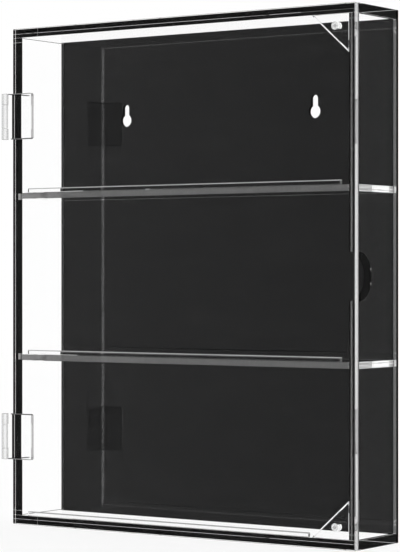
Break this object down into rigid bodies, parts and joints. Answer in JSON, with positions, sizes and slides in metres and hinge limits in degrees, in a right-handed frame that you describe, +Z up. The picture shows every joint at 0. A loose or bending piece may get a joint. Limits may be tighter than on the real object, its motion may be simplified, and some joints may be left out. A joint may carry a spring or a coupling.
{
  "type": "trading card display case",
  "caption": "Wall-hung display case for trading cards: clear acrylic box on a glossy black back, with lipped shelves and a clear door that swings on side hinges and shuts on magnets.",
  "frame": {"origin": "middle of the underside that the case stands on, halfway between the closed door's front and the wall side of the back", "axes": "+Z up, +Y towards the wall behind the case, +X to the right as seen from the front; the door is on the -Y side"},
  "size_m": [0.3287, 0.0709, 0.4],
  "materials": {
    "clear_acrylic": "clear cast acrylic sheet, polished faces and edges",
    "black_acrylic": "opaque black acrylic sheet, polished",
    "clear_hinge_plastic": "clear moulded plastic",
    "magnet_plating": "bright nickel plating"
  },
  "bodies": {
    "case": {"back_panel": "black_acrylic", "top_panel": "clear_acrylic", "bottom_panel": "clear_acrylic", "left_panel": "clear_acrylic", "right_panel": "clear_acrylic", "upper_shelf": "clear_acrylic", "lower_shelf": "clear_acrylic", "upper_shelf_lip": "clear_acrylic", "lower_shelf_lip": "clear_acrylic", "bottom_lip": "clear_acrylic", "top_corner_gusset": "clear_acrylic", "bottom_corner_gusset": "clear_acrylic", "top_gusset_magnet": "magnet_plating", "bottom_gusset_magnet": "magnet_plating", "upper_hinge_case_leaf": "clear_hinge_plastic", "lower_hinge_case_leaf": "clear_hinge_plastic", "upper_hinge_pin": "clear_hinge_plastic", "lower_hinge_pin": "clear_hinge_plastic"},
    "door": {"door_panel": "clear_acrylic", "upper_hinge_door_leaf": "clear_hinge_plastic", "lower_hinge_door_leaf": "clear_hinge_plastic", "top_door_magnet": "magnet_plating", "bottom_door_magnet": "magnet_plating"}
  },
  "joints": [
    {"name": "door_swing", "type": "hinge", "parent": "case", "child": "door", "pos_m": [-0.1651, -0.0362, 0.2], "axis": [0, 0, -1], "range_deg": [0, 180]}
  ]
}
